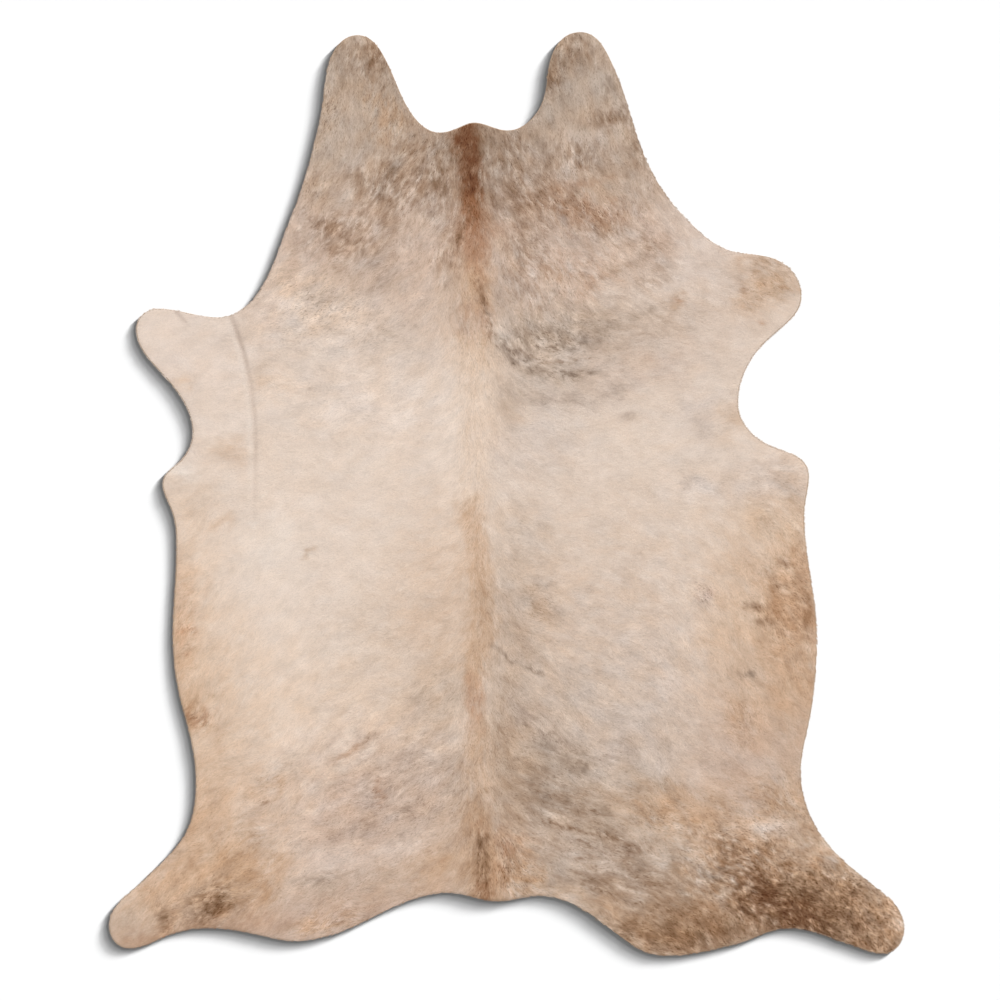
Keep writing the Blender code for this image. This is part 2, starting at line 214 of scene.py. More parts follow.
# Markings, painted one over the other. Each is an uneven oval, turned from +X, and strongest in
# its middle, where it takes the hair this share of the way to its colour. The hide's left is
# at -X. A row that ends early is brindled, and one that ends with its share isn't turned.
Marking = namedtuple(
    "Marking", "x y reach_x reach_y colour share turn grain", defaults=(0, "brindled")
)
MARKINGS = [Marking(*row) for row in (
    # Broad tones: neck, shoulders and withers
    (-0.06, 0.97, 0.5, 0.36, "clay", 1.15, 0, "speckled"),
    (-0.41, 0.84, 0.09, 0.24, "clay", 0.75, -12, "speckled"),
    (0.27, 0.76, 0.11, 0.1, "clay", 0.7, -30, "speckled"),
    (-0.02, 0.6, 0.44, 0.17, "rose", 0.62, 0, "speckled"),
    (-0.46, 0.58, 0.12, 0.12, "rose", 0.5, 0, "speckled"),
    (0.44, 0.56, 0.1, 0.12, "bone", 0.5, -45, "even"),
    (0.3, 0.3, 0.17, 0.07, "rose", 0.42, 5, "soft"),
    (0.12, 0.38, 0.16, 0.09, "clay", 0.54, 0, "speckled"),
    (-0.22, 0.44, 0.14, 0.1, "rose", 0.42, 0, "soft"),
    (0.07, 0.26, 0.09, 0.05, "clay", 0.42, 0, "speckled"),
    # Beside the spine
    (-0.002, 0.18, 0.036, 0.09, "dun", 0.42, 0, "soft"),
    (0.07, 0.11, 0.11, 0.08, "pearl", 0.6, 0, "soft"),
    # Forelegs and breast
    (-0.74, 0.3, 0.16, 0.16, "blush", 0.6, 0, "even"),
    (-0.56, 0.43, 0.06, 0.06, "rose", 0.3, -20, "soft"),
    (0.54, 0.44, 0.14, 0.1, "rose", 0.14, 0, "soft"),
    (0.62, 0.03, 0.12, 0.07, "bone", 0.68, 0, "soft"),
    # Back
    (0.03, -0.32, 0.09, 0.2, "clay", 0.62, 0, "speckled"),
    (0.2, -0.3, 0.26, 0.26, "tan", 0.26, 0, "soft"),
    (0.3, -0.42, 0.24, 0.26, "pearl", 0.45, 0, "speckled"),
    (-0.15, -0.3, 0.11, 0.24, "tan", 0.4, 0, "soft"),
    (-0.38, -0.5, 0.26, 0.16, "sand", 0.35, 0, "soft"),
    # Left flank and thigh
    (-0.78, -0.34, 0.1, 0.24, "wheat", 0.8, 0, "soft"),
    (-0.66, -0.4, 0.08, 0.14, "wheat", 0.45, 0, "soft"),
    (-0.7, -0.64, 0.16, 0.16, "wheat", 0.65, 0, "soft"),
    (-0.73, -0.74, 0.08, 0.1, "tan", 0.6, 20, "soft"),
    # Right flank, thigh and hip
    (0.66, -0.28, 0.12, 0.26, "tan", 0.8, 0, "speckled"),
    (0.62, -0.06, 0.1, 0.05, "sand", 0.8, 0, "soft"),
    (0.52, -0.34, 0.1, 0.24, "wheat", 0.55, 0, "soft"),
    (0.56, -0.62, 0.18, 0.18, "rose", 0.75, 0, "soft"),
    (0.65, -0.46, 0.1, 0.1, "tan", 0.6, 0, "soft"),
    (0.67, -0.75, 0.09, 0.1, "dun", 0.75, 20, "speckled"),
    (0.6, -0.84, 0.12, 0.05, "bark", 0.3, -15),
    # Left loin and rump
    (-0.28, -0.74, 0.3, 0.18, "rose", 0.8, 20, "streaked"),
    (-0.42, -0.97, 0.36, 0.1, "rose", 0.85, 12, "soft"),
    # Right loin and rump
    (0.11, -0.64, 0.23, 0.18, "clay", 0.76, -15, "streaked"),
    (0.0, -0.62, 0.05, 0.18, "dun", 0.8, 0, "speckled"),
    (0.24, -0.86, 0.32, 0.13, "clay", 0.57, -18, "streaked"),
    (0.34, -0.71, 0.1, 0.05, "fawn", 0.5, -8, "speckled"),
    (0.47, -0.75, 0.12, 0.05, "tan", 0.6, -10, "speckled"),
    (0.42, -1.01, 0.22, 0.07, "fawn", 0.95, -5, "speckled"),
    (0.44, -1.02, 0.19, 0.055, "bark", 0.58),
    # Tail and hind legs
    (-0.14, -0.85, 0.16, 0.08, "fawn", 0.6, 15, "soft"),
    (-0.74, -0.9, 0.22, 0.12, "tan", 0.85, 35, "speckled"),
    (-0.88, -1.0, 0.07, 0.07, "clay", 0.5, 0, "even"),
    (-0.72, -1.01, 0.16, 0.045, "chestnut", 0.4, 8, "soft"),
    (0.74, -0.95, 0.29, 0.12, "fawn", 1.05, -25),
    # Smaller markings: left neck lobe
    (-0.35, 1.02, 0.1, 0.06, "bark", 0.22),
    (-0.3, 1.01, 0.04, 0.06, "bark", 0.3),
    (-0.41, 0.88, 0.03, 0.05, "dun", 0.5),
    (-0.27, 0.88, 0.04, 0.07, "fawn", 0.35, 25),
    (-0.23, 0.79, 0.03, 0.03, "bark", 0.15),
    # Left side of the neck
    (-0.29, 0.725, 0.065, 0.045, "bark", 0.34),
    (-0.45, 0.7, 0.04, 0.03, "dun", 0.45),
    (-0.19, 0.78, 0.09, 0.08, "bark", 0.16, 30),
    # Nape
    (-0.155, 0.75, 0.05, 0.09, "bark", 0.3, -10),
    (-0.22, 0.69, 0.09, 0.04, "bark", 0.15),
    (0.0, 0.73, 0.05, 0.11, "bark", 0.3, 10),
    (0.01, 0.8, 0.05, 0.05, "bark", 0.14, -40),
    # Right neck lobe
    (0.13, 1.03, 0.08, 0.05, "bark", 0.34),
    (0.105, 0.95, 0.025, 0.03, "bark", 0.45),
    (0.24, 0.93, 0.03, 0.02, "soot", 0.22),
    (0.25, 0.862, 0.06, 0.022, "bark", 0.45, 5),
    (0.19, 0.81, 0.05, 0.03, "bone", 0.45, 0, "speckled"),
    # Right side of the neck
    (0.145, 0.755, 0.06, 0.04, "bark", 0.4),
    (0.3, 0.78, 0.05, 0.06, "bark", 0.3, 40),
    # Left shoulder
    (-0.41, 0.615, 0.035, 0.02, "bark", 0.32),
    (-0.385, 0.58, 0.07, 0.05, "bark", 0.3, -30),
    (-0.3, 0.62, 0.07, 0.05, "bark", 0.23),
    (-0.28, 0.51, 0.07, 0.04, "soot", 0.11, -10),
    (-0.44, 0.42, 0.13, 0.07, "sand", 0.38, -10),
    (-0.13, 0.59, 0.035, 0.075, "bark", 0.2),
    # Right shoulder
    (0.18, 0.655, 0.1, 0.035, "copper", 0.66, -8),
    (0.15, 0.66, 0.04, 0.02, "bark", 0.25, -15),
    (0.24, 0.6, 0.06, 0.03, "bark", 0.22, -25),
    (0.05, 0.67, 0.05, 0.05, "bark", 0.25),
    (0.22, 0.7, 0.08, 0.03, "dun", 0.45, 0, "speckled"),
    (0.35, 0.6, 0.06, 0.05, "rose", 0.5, 0, "speckled"),
    # Between the shoulders
    (-0.145, 0.43, 0.04, 0.08, "dun", 0.42, 0, "speckled"),
    (0.05, 0.54, 0.05, 0.07, "bark", 0.18, 10),
    (0.0, 0.47, 0.04, 0.08, "ash", 0.2, 10, "streaked"),
    (0.14, 0.5, 0.11, 0.06, "copper", 0.26, 10),
    (0.34, 0.57, 0.025, 0.03, "bark", 0.14, 30),
    # Brindle at the withers
    (0.1, 0.365, 0.12, 0.055, "clay", 0.42, 5),
    (0.085, 0.355, 0.075, 0.028, "soot", 0.12),
    (0.185, 0.349, 0.01, 0.006, "soot", 0.3, 0, "soft"),
    (0.0, 0.312, 0.022, 0.03, "ash", 0.35, -50),
    # Right side of the chest
    (0.34, 0.5, 0.04, 0.03, "bark", 0.14, 20),
    (0.4, 0.44, 0.05, 0.03, "fawn", 0.12, 10),
    (0.4, 0.448, 0.01, 0.007, "rust", 0.26),
    (0.285, 0.175, 0.018, 0.01, "ash", 0.35, 0, "soft"),
    # Right foreleg and armpit
    (0.62, 0.505, 0.07, 0.045, "fawn", 0.56, -25, "speckled"),
    (0.565, 0.465, 0.045, 0.05, "fawn", 0.36, -20, "speckled"),
    (0.6, 0.48, 0.06, 0.035, "fawn", 0.3, 10),
    (0.545, 0.465, 0.01, 0.01, "chestnut", 0.12),
    (0.59, 0.393, 0.014, 0.006, "rust", 0.3, -10),
    (0.53, 0.17, 0.05, 0.03, "wheat", 0.6, 0, "soft"),
    (0.45, 0.19, 0.07, 0.04, "pearl", 0.7, 0, "soft"),
    # Left side of the chest
    (-0.53, 0.25, 0.06, 0.035, "wheat", 0.38, 0, "speckled"),
    (-0.38, 0.36, 0.2, 0.1, "bone", 0.3, 0, "speckled"),
    (-0.3, 0.2, 0.2, 0.08, "blush", 0.35, 0, "speckled"),
    (-0.452, 0.236, 0.007, 0.006, "ash", 0.6, 0, "soft"),
    # Left foreleg, breast lobe and the back beside them
    (-0.63, 0.09, 0.05, 0.025, "tan", 0.4, 0, "soft"),
    (-0.745, 0.255, 0.03, 0.015, "wheat", 0.5, 0, "soft"),
    (-0.75, 0.055, 0.035, 0.03, "white", 0.4, 0, "soft"),
    (-0.53, -0.12, 0.07, 0.07, "white", 0.26, 0, "even"),
    (-0.3, -0.35, 0.12, 0.09, "clay", 0.18, 10, "soft"),
    (-0.562, -0.008, 0.014, 0.005, "white", 0.45, 25, "soft"),
    (-0.58, -0.07, 0.01, 0.005, "white", 0.35, 0, "soft"),
    (-0.72, -0.02, 0.06, 0.05, "wheat", 0.35, 0, "soft"),
    (-0.66, -0.07, 0.04, 0.014, "tan", 0.4, 25, "soft"),
    # Back
    (-0.455, -0.135, 0.014, 0.005, "fawn", 0.5, 25, "soft"),
    (0.03, -0.09, 0.06, 0.05, "clay", 0.12),
    (0.08, -0.25, 0.04, 0.04, "dun", 0.3),
    (-0.16, -0.46, 0.08, 0.06, "clay", 0.5, 20, "speckled"),
    # Left flank and thigh
    (-0.765, -0.32, 0.03, 0.18, "tan", 0.26, 0, "soft"),
    (-0.735, -0.49, 0.05, 0.05, "fawn", 0.55, 0, "speckled"),
    (-0.75, -0.3, 0.04, 0.1, "rust", 0.15),
    (-0.735, -0.31, 0.018, 0.01, "rust", 0.35),
    (-0.712, -0.512, 0.034, 0.024, "chestnut", 0.45),
    (-0.54, -0.665, 0.05, 0.025, "fawn", 0.25, 30),
    (-0.558, -0.712, 0.014, 0.007, "bark", 0.35, 10),
    # Right flank
    (0.68, -0.25, 0.08, 0.18, "fawn", 0.45),
    (0.685, -0.25, 0.06, 0.15, "chestnut", 0.17, 0, "speckled"),
    (0.635, -0.16, 0.018, 0.014, "bark", 0.3),
    (0.63, -0.207, 0.024, 0.01, "bark", 0.4, -45),
    (0.572, -0.264, 0.024, 0.012, "bark", 0.38, -25),
    (0.605, -0.292, 0.03, 0.014, "bark", 0.28),
    (0.552, -0.415, 0.022, 0.009, "soot", 0.36),
    (0.682, -0.275, 0.022, 0.05, "bark", 0.14),
    (0.46, -0.23, 0.025, 0.03, "rose", 0.6),
    # Right thigh
    (0.55, -0.52, 0.04, 0.05, "fawn", 0.25),
    (0.62, -0.71, 0.08, 0.04, "fawn", 0.35),
    (0.6, -0.768, 0.05, 0.018, "bone", 0.5, 5),
    # Right breast lobe
    (0.45, 0.02, 0.08, 0.035, "pearl", 0.55, 0, "speckled"),
    (0.62, 0.03, 0.06, 0.03, "ash", 0.08),
    # Right loin
    (0.26, -0.57, 0.09, 0.05, "pearl", 0.5, 0, "soft"),
    (0.175, -0.628, 0.012, 0.008, "soot", 0.45, -20, "soft"),
    (0.245, -0.605, 0.045, 0.018, "ash", 0.45, 10, "streaked"),
    # Right rump
    (0.285, -0.82, 0.034, 0.014, "chocolate", 0.42, -10),
    (0.24, -0.79, 0.04, 0.02, "bark", 0.18, -20),
    (0.28, -0.9, 0.1, 0.03, "bark", 0.3, -12, "streaked"),
    (0.21, -0.95, 0.05, 0.03, "fawn", 0.5, -15, "speckled"),
    (0.36, -0.75, 0.05, 0.03, "fawn", 0.3, -20),
    (0.27, -1.01, 0.06, 0.03, "bark", 0.38, 5),
    # Tail
    (-0.018, -0.835, 0.055, 0.065, "copper", 0.62),
    (0.03, -0.88, 0.07, 0.05, "fawn", 0.6, -15),
    (0.05, -0.78, 0.05, 0.05, "bark", 0.15, -20, "streaked"),
    # Left loin and rump
    (-0.296, -0.68, 0.014, 0.028, "chestnut", 0.48, 8),
    (-0.24, -0.725, 0.024, 0.012, "soot", 0.3, 20),
    (-0.36, -0.593, 0.036, 0.009, "copper", 0.55, 28, "streaked"),
    (-0.32, -0.56, 0.026, 0.007, "ash", 0.5, 25),
    (-0.43, -0.885, 0.06, 0.011, "soot", 0.32, 10),
    (-0.42, -0.99, 0.08, 0.035, "fawn", 0.42, 15),
    # Right hind leg and hip
    (0.72, -0.96, 0.23, 0.09, "bark", 0.7, -20, "rough"),
    (0.59, -0.93, 0.065, 0.042, "chocolate", 0.76, -30, "rough"),
    (0.66, -0.985, 0.06, 0.036, "chocolate", 0.82, 0, "rough"),
    (0.54, -0.822, 0.045, 0.012, "bark", 0.4, 8, "rough"),
    (0.56, -0.87, 0.08, 0.05, "chestnut", 0.1, -10),
    (0.6, -0.766, 0.05, 0.02, "bone", 0.55, 0, "speckled"),
    # Left hind leg
    (-0.675, -0.932, 0.05, 0.034, "bark", 0.8, 15, "rough"),
    (-0.605, -0.865, 0.07, 0.07, "fawn", 0.8, 70, "speckled"),
    (-0.785, -0.97, 0.03, 0.03, "bark", 0.48, 20),
)]

# Curved markings, each made of fine strands along it, and streaked where its row ends early
Line = namedtuple(
    "Line", "x y heading end_x end_y end_heading half_width colour share grain", defaults=("streaked",)
)
LINES = [Line(*row) for row in (
    # Edges of the stripe
    (-0.062, 0.5, -80, -0.012, 0.335, -58, 0.008, "bark", 0.36, "brindled"),
    (-0.094, 0.64, -100, -0.138, 0.51, -110, 0.01, "bark", 0.34, "brindled"),
    # Waves at the withers
    (-0.036, 0.39, -68, 0.235, 0.29, 20, 0.013, "soot", 0.25, "brindled"),
    (-0.016, 0.335, -50, 0.12, 0.266, 0, 0.006, "soot", 0.1, "brindled"),
    (-0.054, 0.45, -75, 0.032, 0.32, -42, 0.005, "white", 0.36, "soft"),
    (-0.01, 0.42, -35, 0.29, 0.405, 15, 0.016, "soot", 0.13),
    (0.0, 0.374, -42, 0.245, 0.366, 15, 0.01, "soot", 0.2, "brindled"),
    (0.01, 0.336, -36, 0.21, 0.316, 12, 0.008, "bark", 0.22, "brindled"),
    (-0.026, 0.252, -42, 0.19, 0.224, 6, 0.012, "ash", 0.22),
    # Waves on the chest
    (0.16, 0.345, 5, 0.5, 0.43, 15, 0.04, "bark", 0.1),
    (0.19, 0.385, 8, 0.38, 0.44, 15, 0.012, "soot", 0.12),
    (0.06, 0.225, -8, 0.32, 0.26, 20, 0.03, "ash", 0.22),
    (-0.16, 0.36, 185, -0.52, 0.44, 165, 0.06, "clay", 0.22),
    # Arc and bands on the shoulders
    (0.2, 0.5, 12, 0.335, 0.57, 55, 0.014, "bark", 0.16),
    (0.12, 0.71, 5, 0.285, 0.728, 5, 0.006, "copper", 0.3, "soft"),
    (-0.45, 0.63, 0, -0.3, 0.63, 0, 0.006, "bone", 0.35, "soft"),
    # Crease and nick across the left foreleg, with painted shade along their troughs and a painted
    # highlight on the crease's left side
    (-0.712, 0.53, -57, -0.592, -0.06, -92, 0.007, "white", 0.2, "even"),
    (-0.7, 0.53, -57, -0.58, -0.06, -92, 0.0042, "ash", 0.34, "even"),
    (-0.7, 0.53, -57, -0.588, 0.25, -79, 0.004, "ash", 0.45, "even"),
    (-0.77, 0.432, -50, -0.728, 0.384, -45, 0.0032, "ash", 0.6, "even"),
    # Streaks right of the spine, on the back and loin
    (-0.02, -0.2, -70, 0.06, -0.4, -60, 0.03, "ash", 0.14),
    (-0.045, -0.33, -50, 0.1, -0.418, -15, 0.006, "soot", 0.36),
    (-0.02, -0.46, -45, 0.18, -0.6, -22, 0.035, "ash", 0.26),
    (0.06, -0.55, -35, 0.21, -0.65, -15, 0.014, "soot", 0.18),
    (0.0, -0.62, -40, 0.26, -0.74, -18, 0.045, "bark", 0.18),
    # Streaks on the right rump, and thin ones on the loin
    (0.0, -0.7, -35, 0.4, -0.86, -12, 0.055, "bark", 0.13),
    (0.05, -0.78, -22, 0.42, -0.88, -8, 0.008, "bark", 0.27),
    (0.02, -0.72, -28, 0.3, -0.8, -12, 0.006, "bark", 0.32, "brindled"),
    (0.1, -0.82, -20, 0.4, -0.91, -8, 0.006, "bark", 0.3, "brindled"),
    (0.11, -0.775, -25, 0.3, -0.846, -18, 0.005, "bark", 0.26, "brindled"),
    (0.24, -0.85, -20, 0.4, -0.905, -15, 0.007, "bark", 0.28, "brindled"),
    (0.12, -0.885, -18, 0.42, -0.965, -6, 0.005, "bark", 0.26, "brindled"),
    (0.04, -0.665, -32, 0.3, -0.755, -14, 0.005, "bark", 0.25, "brindled"),
    (0.0, -0.5, -40, 0.16, -0.58, -20, 0.005, "soot", 0.2, "brindled"),
    (0.0, -0.75, -28, 0.34, -0.88, -15, 0.04, "bone", 0.25),
    (0.1, -0.86, -20, 0.44, -0.94, -8, 0.04, "bark", 0.2),
    (-0.025, -0.52, -60, 0.005, -0.58, -50, 0.008, "bark", 0.3),
    # Streaks on the left loin and rump
    (-0.1, -0.59, 205, -0.36, -0.71, 212, 0.045, "ash", 0.26),
    (-0.09, -0.68, 212, -0.42, -0.82, 205, 0.05, "ash", 0.2),
    (-0.1, -0.76, 205, -0.52, -0.89, 200, 0.035, "bone", 0.45, "soft"),
    (-0.16, -0.85, 203, -0.56, -0.92, 190, 0.04, "clay", 0.32),
)]

# How a curve is followed: its handles and its faded ends, as shares of its length, and its steps
CURVE_HANDLE = 0.4
CURVE_FADE = 0.25
STRAND_STEP = 0.004

# Noise is made of one or more layers of bumps
Bumps = namedtuple("Bumps", "size weight")

# The strands and flecks of a curved marking: their noise, how far it is drawn out, and how
# strong it is
STRANDS = (Bumps(0.0030, 1), Bumps(0.0045, 1))
STRAND_STRETCH = 6.0
FLECK_SIZE = 0.0030
FLECK_STRETCH = 2.2
STRAND_CONTRAST = 3.0
STRAND_MOST = 2.2
STRAND_WEIGHT = 0.7

# The crease across the left foreleg and the nick beside it: where each runs, and how deep and
# how wide its trough is
Crease = namedtuple("Crease", "x y heading end_x end_y end_heading depth half_width")
CREASES = (
    Crease(-0.700, 0.53, -57, -0.580, -0.06, -92, 0.0005, 0.0070),
    Crease(-0.770, 0.432, -50, -0.732, 0.388, -45, 0.0003, 0.0060),
)

# How far the stripe along the spine wanders, and how sharp its edges are
STRIPE_BROAD = 0.2
STRIPE_FINE = 2
STRIPE_SHARPNESS = 3

# That stripe and its darker core: where, how wide and how strong, down the hide
Stripe = namedtuple("Stripe", "y x half_width colour share")
STRIPES = [Stripe(*row) for row in (
    (0.86, -0.084, 0.046, "bark", 0.5),
    (0.8, -0.084, 0.048, "bark", 0.5),
    (0.74, -0.082, 0.046, "bark", 0.35),
    (0.68, -0.076, 0.044, "bark", 0.4),
    (0.62, -0.074, 0.046, "copper", 0.78),
    (0.56, -0.078, 0.044, "copper", 0.74),
    (0.5, -0.072, 0.042, "tan", 0.8),
    (0.45, -0.07, 0.042, "tan", 0.76),
    (0.4, -0.07, 0.046, "copper", 0.4),
    (0.34, -0.078, 0.052, "wheat", 0.62),
    (0.26, -0.072, 0.044, "sand", 0.45),
    (0.02, -0.072, 0.034, "sand", 0.35),
    (-0.05, -0.084, 0.034, "tan", 0.66),
    (-0.1, -0.074, 0.028, "tan", 0.6),
    (-0.16, -0.066, 0.03, "tan", 0.6),
    (-0.24, -0.054, 0.034, "fawn", 0.5),
    (-0.32, -0.058, 0.034, "fawn", 0.45),
    (-0.4, -0.074, 0.024, "tan", 0.75),
    (-0.48, -0.08, 0.02, "rust", 0.3),
    (-0.56, -0.072, 0.03, "tan", 0.5),
    (-0.64, -0.068, 0.036, "tan", 0.45),
    (-0.72, -0.066, 0.036, "fawn", 0.5),
    (-0.79, -0.06, 0.03, "fawn", 0.55),
    (-0.93, -0.05, 0.042, "fawn", 0.6),
)]
STRIPE_CORE = [Stripe(*row) for row in (
    (0.86, -0.092, 0.03, "mahogany", 0.85),
    (0.83, -0.092, 0.028, "mahogany", 0.9),
    (0.8, -0.092, 0.026, "mahogany", 0.88),
    (0.77, -0.086, 0.025, "mahogany", 0.76),
    (0.74, -0.086, 0.023, "mahogany", 0.8),
    (0.71, -0.078, 0.021, "mahogany", 0.9),
    (0.68, -0.077, 0.02, "chestnut", 0.75),
    (0.65, -0.078, 0.024, "chestnut", 0.82),
    (0.61, -0.074, 0.028, "chestnut", 0.4),
    (0.56, -0.072, 0.026, "rust", 0.15),
    (0.46, -0.054, 0.014, "chestnut", 0.14),
    (0.4, -0.05, 0.014, "chestnut", 0.12),
    (0.33, -0.05, 0.014, "chestnut", 0.0),
    (-0.75, -0.066, 0.014, "chestnut", 0.0),
    (-0.79, -0.063, 0.016, "bark", 0.46),
    (-0.84, -0.063, 0.017, "bark", 0.42),
    (-0.88, -0.054, 0.018, "bark", 0.45),
    (-0.93, -0.05, 0.02, "chestnut", 0.4),
)]

# Clouds of browner, paler and greyer hair: how they change red, green and blue, in full only
# where the hair is this uneven
Cloud = namedtuple("Cloud", "size tint")
CLOUDS = (
    Cloud(0.045, (-0.008, -0.020, -0.034)),
    Cloud(0.060, (0.020, 0.020, 0.020)),
    Cloud(0.034, (-0.018, -0.018, -0.016)),
)
CLOUDY_SPREAD = 0.22

# How uneven the hair of a marking is, and how far that is drawn out along the hair
Grain = namedtuple("Grain", "spread reach")
GRAINS = {
    "even": Grain(0.06, 0.006),
    "soft": Grain(0.12, 0.008),
    "speckled": Grain(0.18, 0.008),
    "streaked": Grain(0.20, 0.020),
    "brindled": Grain(0.38, 0.006),
    "rough": Grain(0.48, 0.004),
}

# The hair is uneven in single tufts most of all, and less in patches
PATCHES = (Bumps(0.004, 2.2), Bumps(0.009, 0.7), Bumps(0.018, 0.5), Bumps(0.036, 0.4))
SPECKLE = 0.20
SPECKLE_REACH = 0.006
PALE_SPECKLE_CUT = 0.4

# Each pass of combing draws a noise out by one of these shares of its reach
COMB_SHARES = (1 / 9, 1 / 3, 1)
COMB_STEP = 0.7

# How the hair swirls away from its lie
SWIRLS = (Bumps(0.07, math.radians(9)), Bumps(0.025, math.radians(4)))

# How far the edges of markings wander, which is less round a small one
BROAD_WANDERS = (Bumps(0.09, 0.012),)
FINE_WANDERS = (Bumps(0.022, 0.003), Bumps(0.010, 0.002))
SMALL_MARKING = 0.06

# A marking is painted as far as it is seen: this many times its reach and some room to wander,
# or this share of a curve's length and this many times its half width
SEEN_REACH = 2.4
WANDER_ROOM = 0.03
SEEN_LENGTH = 0.6
SEEN_WIDTH = 3

# The usual least and most of a shader's noise
NOISE_RANGE = (0.3, 0.7)


def linear(colour):
    """A colour from 0 to 1 as a screen shows it, as the light it stands for."""
    colour = np.asarray(colour, float)
    return np.where(colour <= 0.04045, colour / 12.92, ((colour + 0.055) / 1.055) ** 2.4)


def direction(heading):
    angle = math.radians(heading)
    return Vector((math.cos(angle), math.sin(angle), 0.0))


def set_inputs(tree, node, inputs):
    """Gives each named input of a node its value, or links it to another node's output."""
    for name, value in inputs.items():
        if isinstance(value, bpy.types.NodeSocket):
            tree.links.new(value, node.inputs[name])
        else:
            node.inputs[name].default_value = value
    return node


def new_node(tree, kind, inputs):
    return set_inputs(tree, tree.nodes.new(kind), inputs)


def new_material(name):
    material = bpy.data.materials.new(name)
    material.use_nodes = True
    return material, material.node_tree, material.node_tree.nodes["Principled BSDF"]


def new_object(name, data):
    thing = bpy.data.objects.new(name, data)
    bpy.context.collection.objects.link(thing)
    return thing


def make_camera():
    data = bpy.data.cameras.new("camera")
    data.sensor_width = SENSOR_WIDTH
    data.lens = SENSOR_WIDTH * CAMERA_HEIGHT / (PHOTO_WIDTH * PHOTO_PIXEL)
    camera = new_object("camera", data)
    camera.location = (*PHOTO_MIDDLE, CAMERA_HEIGHT)
    bpy.context.scene.camera = camera


def make_room():
    """Pale all round, and paler towards the horizon, as a studio's walls are."""
    world = bpy.data.worlds.new("room")
    world.use_nodes = True
    tree = world.node_tree
    place = tree.nodes.new("ShaderNodeTexCoord").outputs["Generated"]
    parts = new_node(tree, "ShaderNodeSeparateXYZ", {"Vector": place})
    wall = new_node(tree, "ShaderNodeMapRange", {
        "Value": parts.outputs["Z"],
        "From Min": WALL_FADE[0],
        "From Max": WALL_FADE[1],
        "To Min": WALL_BRIGHTNESS,
        "To Max": ROOM_BRIGHTNESS,
    })
    wall.interpolation_type = "SMOOTHSTEP"
    set_inputs(tree, tree.nodes["Background"], {
        "Strength": wall.outputs["Result"],
        "Color": (1.0, 1.0, 1.0, 1.0),
    })
    bpy.context.scene.world = world


def make_light(name, lit, strength, heading, height, softness):
    """A far light from a heading and a height above the horizon, which falls on some objects."""
    data = bpy.data.lights.new(name, "SUN")
    data.energy = strength
    data.angle = math.radians(softness)
    light = new_object(name, data)
    towards = direction(heading) * math.cos(math.radians(height))
    towards.z = math.sin(math.radians(height))
    light.rotation_mode = "QUATERNION"
    light.rotation_quaternion = towards.to_track_quat("Z", "Y")
    group = bpy.data.collections.new(name + "_lights")
    for thing in lit:
        group.objects.link(thing)
    light.light_linking.receiver_collection = group


def make_floor():
    half = FLOOR_SIZE / 2
    corners = [(-half, -half, 0), (half, -half, 0), (half, half, 0), (-half, half, 0)]
    mesh = bpy.data.meshes.new("floor")
    mesh.from_pydata(corners, [], [(0, 1, 2, 3)])
    material, tree, shader = new_material("floor")
    set_inputs(tree, shader, {
        "Base Color": (FLOOR_TONE, FLOOR_TONE, FLOOR_TONE, 1.0),
        "Roughness": 0.9,
        "Specular IOR Level": 0.1,
    })
    mesh.materials.append(material)
    floor = new_object("floor", mesh)
    floor.location.z = -FLOOR_DROP
    return floor


def outline_of(node):
    """The node's outline as seen from above, anticlockwise: where faces looking up meet others."""
    shape = bmesh.new()
    shape.from_mesh(node.data)
    bmesh.ops.remove_doubles(shape, verts=shape.verts, dist=SAME_POINT)
    shape.normal_update()
    after = {}
    for edge in shape.edges:
        for corner in edge.link_loops:
            others = [face for face in edge.link_faces if face is not corner.face]
            if corner.face.normal.z > 0 and others and others[0].normal.z <= 0:
                after[corner.vert] = corner.link_loop_next.vert
    first = next(iter(after))
    points = [first]
    while after[points[-1]] is not first:
        points.append(after[points[-1]])
    outline = np.array([point.co.xy for point in points])
    shape.free()
    return outline


def smooth_loop(points, step):
    """Points step apart on a smooth closed curve through the given ones."""
    before, after, beyond = (np.roll(points, shift, axis=0) for shift in (1, -1, -2))
    pieces = []
    for t in np.linspace(0.0, 1.0, OUTLINE_PARTS, endpoint=False):
        pieces.append(
            0.5 * (2 * points + (after - before) * t
                   + (2 * before - 5 * points + 4 * after - beyond) * t**2
                   + (3 * points - before - 3 * after + beyond) * t**3)
        )
    curve = np.stack(pieces, axis=1).reshape(-1, 2)
    closed = np.vstack([curve, curve[:1]])
    reached = np.concatenate([[0.0], np.cumsum(np.linalg.norm(np.diff(closed, axis=0), axis=1))])
    stops = np.linspace(0.0, reached[-1], math.ceil(reached[-1] / step), endpoint=False)
    return np.stack([np.interp(stops, reached, column) for column in closed.T], axis=1)


def inward(points):
    """The direction into the hide at each point of its anticlockwise outline."""
    along = np.roll(points, -1, axis=0) - np.roll(points, 1, axis=0)
    along /= np.linalg.norm(along, axis=1, keepdims=True)
    return np.column_stack([-along[:, 1], along[:, 0]])


def grid_places(cell):
    """The x and y of each cell of a grid over the canvas."""
    columns = math.ceil((COLUMNS - 1) * CELL / cell) + 1
    rows = math.ceil((ROWS - 1) * CELL / cell) + 1
    return np.meshgrid(WEST + np.arange(columns) * cell, SOUTH + np.arange(rows) * cell)


